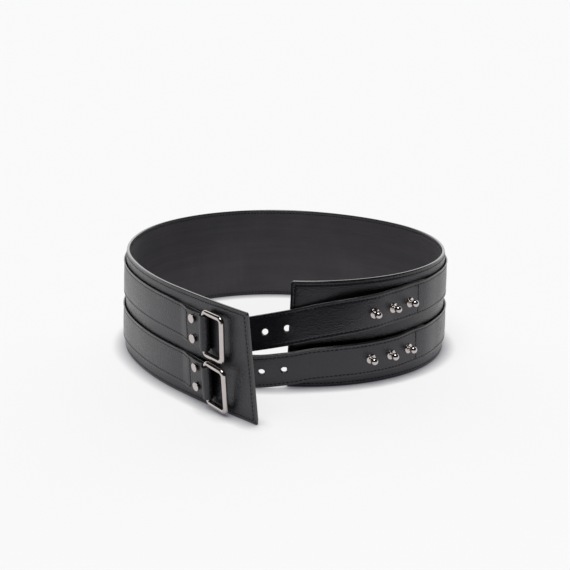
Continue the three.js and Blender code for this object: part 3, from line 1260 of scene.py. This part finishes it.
    def relief(self, run: float, up: float, side: Side) -> float:
        """The height of the outer ply's surface above flat leather.

        Args:
            run: The length along the ply.
            up: The height up the width.
            side: The side that is looked at.

        Returns:
            The height out of that side.
        """
        if side is Side.BACK:
            return 0.0
        last = self.cross_seams[1]
        inset = self.inset(run, up)
        groove = self.groove * bump(inset - self.seam, self.groove_width)
        groove *= 1 - smooth_step(run - last, *self.seam_fade)
        across = self.cross_groove * max(bump(run - seam, self.groove_width) for seam in self.cross_seams)
        across *= smooth_step(inset - self.seam, self.seam_fade[0], 0)
        middle = 1 - min(1.0, abs(up - self.width / 2) / (self.width / 2 - self.seam)) ** 2
        crown = self.puff * middle * (1 - self.flatter * smooth_step(run - last, *self.flatter_run))
        waves = self.wave * ripple(self.wave_size, run, up, layer=self.pivot)
        waves *= smooth_step(inset, *self.wave_edge)
        folds = sum(self.crease * bump(run - crease, self.crease_width) for crease in self.creases)
        return crown + waves - max(groove, across) - folds * smooth_step(inset, *self.crease_edge)

    def cut_ply(self, end: float) -> Blank:
        """Cuts a ply with a round tip and punched holes, in the flat.

        Args:
            end: The run at which the ply ends.

        Returns:
            The flat ply, with its edges marked.
        """
        blank = Blank(self.tip, end, self.ply, self.width)
        middle = self.width / 2
        blank.round_corners(middle - self.tip_flat, self.tip_segments, (self.tip,))
        blank.round_edges(self.rounding, self.segments)
        blank.ring_in(self.loops)
        low, high = middle - self.cell, middle + self.cell
        margin = self.rounding + sum(self.loops)
        below = stepped(margin, low, self.step_across)[1:-1]
        above = stepped(high, self.width - margin, self.step_across)[1:-1]
        levels = below + stepped(low, high, self.cell / 4) + above
        blank.split(Axis.UP, levels, [blank.face_on(side) for side in Side])
        keys, fine = self.keys(end)
        near_tip = stepped(self.tip + margin, keys[0], self.step_tip)[1:-1]
        blank.split(Axis.ALONG, [*near_tip, *keys[:-1]])
        blank.divide(keys, self.step, fine)
        rings = [(self.hole_radius + out, rise) for out, rise in self.hole_rim]
        for along in self.holes:
            blank.punch(along, self.cell, rings)
        blank.lay_out()
        blank.mark("edge", self.painted)
        return blank

    def painted(self, flat: Vector) -> float:
        """How much of a place on a ply is edge paint."""
        return self.paint_share * (1 - smooth_step(self.inset(flat.x, flat.z), *self.paint_edge))

    def keys(self, end: float) -> tuple[list[float], dict[int, float]]:
        """The lengths of the cuts across a ply.

        Args:
            end: The run at which the ply ends.

        Returns:
            The lengths, and the finer spacings that some of the stretches between them have.
        """
        spots = [(hole, self.cell) for hole in self.holes]
        spots += [(seam, self.seam_run) for seam in self.cross_seams]
        spots += [(crease, self.crease_run) for crease in self.creases]
        fine_runs = [(spot - half, spot + half, half / 4) for spot, half in spots]
        skive_end = self.lining_end + self.tongue_skive + self.beyond
        fine_runs += [
            (self.lining_end - self.skive_lead, skive_end, self.step_skive),
            (self.folded_end - self.end_lead, self.cross_seams[1] - self.seam_run, self.step_end),
            (self.pivot - self.rise - self.beyond, self.pivot, self.step_rise),
            (self.pivot, self.fold_end, self.step_fold),
        ]
        keys, fine = [self.tip + self.width / 2], {}
        for low, high, step in sorted(run for run in fine_runs if run[1] < end - self.lead):
            if low - keys[-1] > TINY:
                keys.append(low)
            fine[len(keys) - 1] = step
            keys.append(high)
        keys.append(end - self.tail)
        return keys, fine

    def build(self, finishes: Finishes) -> None:
        """Makes the outer ply, which folds round the ring, and the tongue's lining, and dresses them."""
        outer = self.cut_ply(self.outer_end)
        outer.mark("lining", lambda co: float(co.y < self.ply / 2))
        outer.emboss(self.relief)
        outer.bend(self.outer_bend)
        install(outer.mesh, f"{self.name}_outer_ply", Body.BELT, Slot.LEATHER, finishes.leather, self.name)
        lining = self.cut_ply(self.lining_end)
        lining.mark("lining", lambda co: self.lining_share)
        lining.bend(self.lining_bend)
        install(lining.mesh, f"{self.name}_tongue_lining", Body.BELT, Slot.LEATHER, finishes.leather)

    def sew(self, finishes: Finishes) -> None:
        """Makes the strap's stitches."""
        sewing = Sewing(f"{self.name}_stitches")
        first, last = self.cross_seams
        radius = self.width / 2
        level = self.ply - self.stitch_sink
        round_end = self.tip + radius
        for up in (self.seam, self.width - self.seam):
            sewing.row(Vector((round_end, level, up)), Vector((last, level, up)), self.outer_bend)
            sewing.row(Vector((round_end, 0, up)), Vector((first, 0, up)), self.lining_bend)
        for cross in (first, last):
            sewing.row(Vector((cross, level, self.seam)), Vector((cross, level, self.width - self.seam)),
                       self.outer_bend)
        for depth, bend in ((level, self.outer_bend), (0.0, self.lining_bend)):
            centre = Vector((round_end, depth, radius))
            sewing.arc(centre, radius - self.seam, (90, 270), bend)
        sewing.build(finishes)

    def seat(self, along: float, up: float, sink: float = 0.1) -> Matrix:
        """The place of a trim on the strap's face, with its axis straight out of the face.

        Args:
            along: The length along the belt.
            up: The height up the width.
            sink: How far the trim presses into the leather.

        Returns:
            The trim's matrix, in millimetres.
        """
        flat = Vector((along, self.ply + self.relief(along, up, Side.FACE) - sink, up))
        depth = self.middle_depth(along) + self.ply / 2
        normal = self.course.outward(along, up, depth)
        return Matrix.LocRotScale(self.outer_bend(flat), Axis.UP.value.rotation_difference(normal), None)


@dataclass(frozen=True)
class Turned:
    """A small trim that is turned about its own axis."""

    segments: int = 32
    rim_step: float = 22.5

    def profile(self) -> list[Pair]:
        """The radius and height of each point of the profile, from the foot's middle to the top's."""
        raise NotImplementedError

    def build(self, name: str, node: str, seat: Matrix, finishes: Finishes) -> None:
        """Makes the trim and dresses it.

        Args:
            name: The piece's name.
            node: The node that it replaces.
            seat: Its place, in millimetres.
            finishes: The belt's finishes.
        """
        mesh = bmesh.new()
        points = [mesh.verts.new((radius, 0, height)) for radius, height in self.profile()]
        edges = [mesh.edges.new(pair) for pair in zip(points, points[1:])]
        bmesh.ops.spin(mesh, geom=points + edges, cent=(0, 0, 0), axis=(0, 0, 1), angle=2 * math.pi,
                       steps=self.segments, use_merge=True)
        bmesh.ops.remove_doubles(mesh, verts=mesh.verts[:], dist=TINY)
        bmesh.ops.transform(mesh, matrix=seat, verts=mesh.verts[:])
        install(mesh, name, Body.BELT, Slot.METAL, finishes.metal, node)


@dataclass(frozen=True)
class Rivet(Turned):
    """A flat rivet cap with a rolled rim and an undercut side, whose points are given from the rim."""

    radius: float = 3.7
    thick: float = 2.0
    roll: float = 0.22
    crown: float = 0.03
    undercut: tuple[Pair, ...] = ((-0.9, 0.0), (-0.9, 0.3), (-0.1, 1.1))

    def profile(self) -> list[Pair]:
        """The cap's profile."""
        side = [(self.radius + out, height) for out, height in self.undercut]
        shoulder = (self.radius - self.roll, self.thick - self.roll - self.crown)
        rim = on_arc(shoulder, self.roll, stepped(0, 90, self.rim_step))
        return [(0, 0), *side, *rim, (self.radius / 2, self.thick - self.crown / 3), (0, self.thick)]


@dataclass(frozen=True)
class BallStud(Turned):
    """A ball on a neck above a domed round flange."""

    flange: float = 4.35
    rim: float = 0.5
    rise: float = 1.0
    dome_step: float = 0.4
    neck: float = 1.7
    fillet: float = 0.25
    collar: float = 0.3
    ball: float = 3.2
    ball_step: float = 9.0
    centre: float = 5.4

    def profile(self) -> list[Pair]:
        """The stud's profile."""
        half = self.rim / 2
        rim = on_arc((self.flange - half, half), half, stepped(-90, 45, self.rim_step))
        dome = [
            (radius, self.rim + self.rise * (1 - (radius / self.flange) ** 2))
            for radius in stepped(self.flange - half, self.neck + self.fillet, self.dome_step)
        ]
        neck_angle = math.degrees(math.asin(self.neck / self.ball)) - 90
        ball = on_arc((0, self.centre), self.ball, stepped(neck_angle, 90, self.ball_step))[1:-1]
        neck = (self.neck, self.rim + self.rise + self.collar)
        return [(0, 0), *rim, *dome, neck, *ball, (0, self.centre + self.ball)]


@dataclass
class Ring:
    """A rectangular ring of oval bar that turns about its side in its strap's fold."""

    strap: Strap
    body: Body
    joint: dict[str, Any]
    width: float = 22.5
    height: float = 35.2
    bar: float = 4.6
    thick: float = 4.2
    outer_radius: float = 5.6
    section_sides: int = 28
    corner_steps: int = 8

    def place(self) -> Matrix:
        """The ring's place: its own Y up the bar it turns on, and X away from the fold."""
        centre = Vector(self.joint["pos_m"]) / METRES
        up = -Vector(self.joint["axis"]).normalized()
        tangent = self.strap.course.path.tangent(self.strap.pivot)
        across = (tangent - up * tangent.dot(up)).normalized()
        turn = Matrix((across, up, across.cross(up))).transposed()
        return Matrix.Translation(centre) @ turn.to_4x4()

    def build(self, finishes: Finishes) -> None:
        """Makes the ring and dresses it."""
        mesh = bmesh.new()
        corner = self.outer_radius - self.bar / 2
        middle = Vector((self.width / 2, 0, 0))
        reach = Vector((self.width / 2 - corner, self.height / 2 - corner, 0))
        start = middle + Vector((-reach.x, reach.y + corner, 0))
        section = Matrix.LocRotScale(start, Matrix.Rotation(math.pi / 2, 3, "Y"),
                                     Vector((self.thick / 2, self.bar / 2, 1)))
        rim = bmesh.ops.create_circle(mesh, cap_ends=False, segments=self.section_sides, radius=1,
                                      matrix=section)["verts"]
        loop = list({edge for vert in rim for edge in vert.link_edges})
        for index, (side, up) in enumerate(((1, 1), (1, -1), (-1, -1), (-1, 1))):
            made = bmesh.ops.extrude_edge_only(mesh, edges=loop)["geom"]
            run = 2 * (reach.y if index % 2 else reach.x)
            heading = Matrix.Rotation(-math.pi / 2 * index, 3, "Z") @ Vector((run, 0, 0))
            bmesh.ops.translate(mesh, verts=verts_in(made), vec=heading)
            loop = edges_in(made)
            ends = list({vert for edge in loop for vert in edge.verts})
            centre = middle + Vector((side * reach.x, up * reach.y, 0))
            loop = edges_in(bmesh.ops.spin(mesh, geom=ends + loop, cent=centre, axis=(0, 0, 1),
                                           angle=-math.pi / 2, steps=self.corner_steps)["geom_last"])
        bmesh.ops.remove_doubles(mesh, verts=mesh.verts[:], dist=TINY)
        bmesh.ops.transform(mesh, matrix=self.place(), verts=mesh.verts[:])
        install(mesh, f"{self.body.value}_polished", self.body, Slot.METAL, finishes.metal, self.body.value)


@dataclass(frozen=True)
class SoftSun:
    """A wide far lamp, which lights the whole floor alike."""

    name: str = "top_lamp"
    toward: Triple = (-0.18, -0.42, 1.3)
    width: float = 35.0
    strength: float = 1.6

    def build(self) -> None:
        """Hangs the lamp in the direction that it is seen in."""
        data = bpy.data.lights.new(self.name, "SUN")
        data.angle = math.radians(self.width)
        data.energy = self.strength
        light = link(self.name, data)
        light.location = self.toward
        light.rotation_euler = (-Vector(self.toward)).to_track_quat("-Z", "Y").to_euler()


@dataclass(frozen=True)
class PaleFloor:
    """A pale floor that glows a little, with a painted shadow: it glows less, towards a dark blue, where the
    belt is close over it.
    """

    size: float = 60.0
    colour: Colour = (0.25, 0.25, 0.254)
    rough: float = 0.9
    glow: float = 0.76
    shaded: Colour = (0.0, 0.0, 0.025)
    open: Colour = (1.0, 1.0, 1.0)
    shade_reach: float = 0.014
    shade_toward: Triple = (0.0, 0.35, 0.94)
    shade_power: float = 1.3
    samples: int = 16

    def build(self) -> None:
        """Lays the floor."""
        floor = flat_sheet("floor", (self.size, self.size), (0, 0, 0), self.material())

    def material(self) -> Material:
        """The floor's material."""
        material, sheet = new_material("pale_floor")
        toward = sheet.add("ShaderNodeCombineXYZ", None, dict(enumerate(self.shade_toward))).outputs[0]
        open_share = sheet.value("ShaderNodeAmbientOcclusion", {"samples": self.samples},
                                 {"Distance": self.shade_reach, "Normal": toward}, output="AO")
        sheet.finish(sheet.shader({
            "Base Color": self.colour, "Roughness": self.rough, "Specular IOR Level": 0.0,
            # painted shadow: the glow fades to a dark blue-black where the belt is close over the floor
            "Emission Color": sheet.blend(open_share ** self.shade_power, self.shaded, self.open),
            "Emission Strength": self.glow,
        }))
        return material


@dataclass(frozen=True)
class BlackCard:
    """A black card on the floor on the camera's side, which only the belt's mirroring surfaces see: a
    painted dark reflection.
    """

    name: str = "black_card"
    size: Pair = (1.6, 2.4)
    middle: Triple = (0.25, -1.66, 0.001)
    colour: Colour = (0.02, 0.02, 0.02)
    rough: float = 0.9

    def build(self) -> None:
        """Lays the card."""
        material, sheet = new_material(self.name)
        sheet.finish(sheet.shader({"Base Color": self.colour, "Roughness": self.rough}))
        card = flat_sheet(self.name, self.size, self.middle, material)
        # the card is seen only in reflections, as painted dark surroundings
        card.visible_camera = card.visible_diffuse = card.visible_shadow = False


@dataclass(frozen=True)
class Surroundings:
    """What the belt mirrors: bright behind it, dark on the camera's side, and a low pale band round it.

    The wall's stops run from the camera's side at 0 to straight behind the belt at 1. The band fades out
    over a rise, and from beside the belt towards the camera. Directions are parts of a length of 1.
    """

    wall: tuple[Pair, ...] = ((0.0, 0.01), (0.73, 0.015), (0.83, 0.85), (1.0, 1.0))
    band: Colour = (0.8, 0.8, 0.8)
    band_rise: Pair = (0.08, 0.24)
    band_depth: Pair = (-0.35, 0.05)
    strength: float = 1.8

    def build(self) -> None:
        """Makes the world and sets it."""
        world = bpy.data.worlds.new("studio")
        world.use_nodes = True
        bpy.context.scene.world = world
        sheet = NodeSheet(world.node_tree)
        toward = sheet.add("ShaderNodeTexCoord").outputs["Generated"]
        parts = sheet.add("ShaderNodeSeparateXYZ", None, {0: toward}).outputs
        behind = Value(sheet, parts["Y"])
        stops = [(place, (grey,) * 3) for place, grey in self.wall]
        wall = sheet.add("ShaderNodeValToRGB", {"stops": stops}, {0: behind * 0.5 + 0.5}).outputs[0]
        low = self.eased(sheet, Value(sheet, parts["Z"]), self.band_rise, (1.0, 0.0))
        beside = self.eased(sheet, behind, self.band_depth, (0.0, 1.0))
        sky = sheet.blend(low * beside, wall, self.band)
        background = sheet.add("ShaderNodeBackground", None, {"Color": sky, "Strength": self.strength})
        sheet.finish(background.outputs[0], "ShaderNodeOutputWorld")

    @staticmethod
    def eased(sheet: NodeSheet, part: Value, places: Pair, shares: Pair) -> Value:
        """An eased change over part of a direction.

        Args:
            sheet: The world's nodes.
            part: The part of the direction.
            places: Where the change starts and ends.
            shares: The shares before and after it.

        Returns:
            The share.
        """
        return sheet.value("ShaderNodeMapRange", {"interpolation_type": "SMOOTHSTEP"},
                           {0: part, **dict(enumerate(places + shares, start=1))})


@dataclass(frozen=True)
class Camera:
    """The camera, at the photograph's viewing angle."""

    sensor: float = 36.0
    lens: float = 75.79
    place: Triple = (0.0016, -1.0257, 0.3545)
    fall: float = 16.0

    def build(self) -> None:
        """Sets the camera up."""
        data = bpy.data.cameras.new("camera")
        data.sensor_width = self.sensor
        data.lens = self.lens
        camera = link("camera", data)
        camera.location = self.place
        camera.rotation_euler = (math.radians(90 - self.fall), 0, 0)
        bpy.context.scene.camera = camera


def build_studio() -> None:
    """Sets up everything that isn't part of the belt."""
    for equipment in (PaleFloor(), SoftSun(), BlackCard(), Surroundings(), Camera()):
        equipment.build()
    bpy.context.scene.view_settings.view_transform = "Standard"


@dataclass
class Belt:
    """The whole belt: the panel, two straps, and each strap's ring, rivets and studs."""

    finishes: Finishes
    path: BeltPath = field(default_factory=BeltPath)
    rivet_spread: float = 8.6
    stud_pitch: float = 18.5
    stud_count: int = 3

    def course(self, *rows: tuple[float, ...]) -> StrapCourse:
        """A strap's course from its stations' numbers."""
        return StrapCourse(self.path, tuple(Station(*row) for row in rows))

    def upper_strap(self) -> Strap:
        """The upper strap, by its stations: along, foot, gap, lean and turn."""
        course = self.course(
            (-80, 17.5, -8, 1, 0), (-50, 24, -5, 1.5, 0), (-25, 30, -1.2, 3.2, 0), (0, 36.4, 2.8, 5, 0),
            (25, 42.8, 5, 7.2, 0), (50, 47.6, 7.6, 3, 0), (70, 49.6, 5.7, -2.2, 0), (90, 50.5, 1.3, -2.6, 0),
            (112, 51.2, 0, 0, 0), (180, 51.4, 0, 0, 0), (640, 50.8, 0, 0, 0), (790, 50.7, 0, 0, 0),
            (812, 49.7, 0, 0, 0), (832, 48.2, 0, -0.5, 0.5), (848, 48.6, 0, -0.5, 2.5),
            (860, 48.6, 0, -0.5, 2.5),
        )
        return Strap("strap_upper", course, pivot=848.4, first_hole=1.5, cross_seams=(114.5, 823.7),
                     rivet_line=832.0, first_stud=68.0, stud_drop=1.0)

    def lower_strap(self) -> Strap:
        """The lower strap, by its stations: along, foot, gap, lean and turn."""
        course = self.course(
            (-80, 1.2, 4, -8, 0), (-50, 1.1, 5, -9, 0), (-25, 1.1, 5, -10, 0), (0, 3.6, 3.4, -10, 0),
            (25, 8.1, 1.6, -11, 0), (50, 9.3, 1.5, -9.5, 0), (70, 9.3, 0.6, -7.5, 0), (90, 9.5, 0.2, -5, 0),
            (112, 10.6, 0, 0, 0), (180, 10.8, 0, 0, 0), (640, 10.6, 0, 0, 0), (790, 10.4, 0, 0, 0),
            (810, 9.9, 0, 0, 1), (824, 9.2, 0, -1, 2), (836, 8.8, 0, -4.5, 4), (850, 9, 0, -6, 6),
            (860, 9, 0, -6, 6),
        )
        return Strap("strap_lower", course, pivot=850.4, first_hole=0, cross_seams=(112.5, 825.7),
                     rivet_line=834.7, first_stud=67.0, stud_drop=0.4, creases=(18.0, 23.5, 28.0))

    def build(self) -> None:
        """Builds every piece of the belt."""
        panel = Panel(self.path)
        panel.build(self.finishes)
        panel.sew(self.finishes)
        joints = {joint["child"]: joint for joint in frame["joints"]}
        straps = (
            ("upper", self.upper_strap(), Body.RING_UPPER),
            ("lower", self.lower_strap(), Body.RING_LOWER),
        )
        for word, strap, body in straps:
            strap.build(self.finishes)
            strap.sew(self.finishes)
            Ring(strap, body, joints[body.value]).build(self.finishes)
            self.set_rivets(word, strap)
            self.set_studs(word, strap)

    def set_rivets(self, word: str, strap: Strap) -> None:
        """Sets the two rivets that close a strap's fold.

        Args:
            word: Which strap it is.
            strap: The strap.
        """
        for letter, side in (("a", 1), ("b", -1)):
            node = f"rivet_{word}_{letter}"
            seat = strap.seat(strap.rivet_line, strap.width / 2 + side * self.rivet_spread)
            Rivet().build(f"{node}_cap", node, seat, self.finishes)

    def set_studs(self, word: str, strap: Strap) -> None:
        """Sets a strap's row of ball studs.

        Args:
            word: Which strap it is.
            strap: The strap.
        """
        for index in range(self.stud_count):
            node = f"stud_{word}_{index + 1}"
            seat = strap.seat(strap.first_stud + index * self.stud_pitch, strap.width / 2 - strap.stud_drop)
            BallStud().build(f"{node}_turned", node, seat, self.finishes)


def main() -> None:
    """Builds the belt and its studio."""
    logging.basicConfig(level=logging.INFO, format="%(name)s: %(message)s")
    finishes = Finishes(LeatherFinish().material(), ThreadFinish().material(), NickelFinish().material())
    Belt(finishes).build()
    build_studio()


if __name__ == "__main__":
    main()
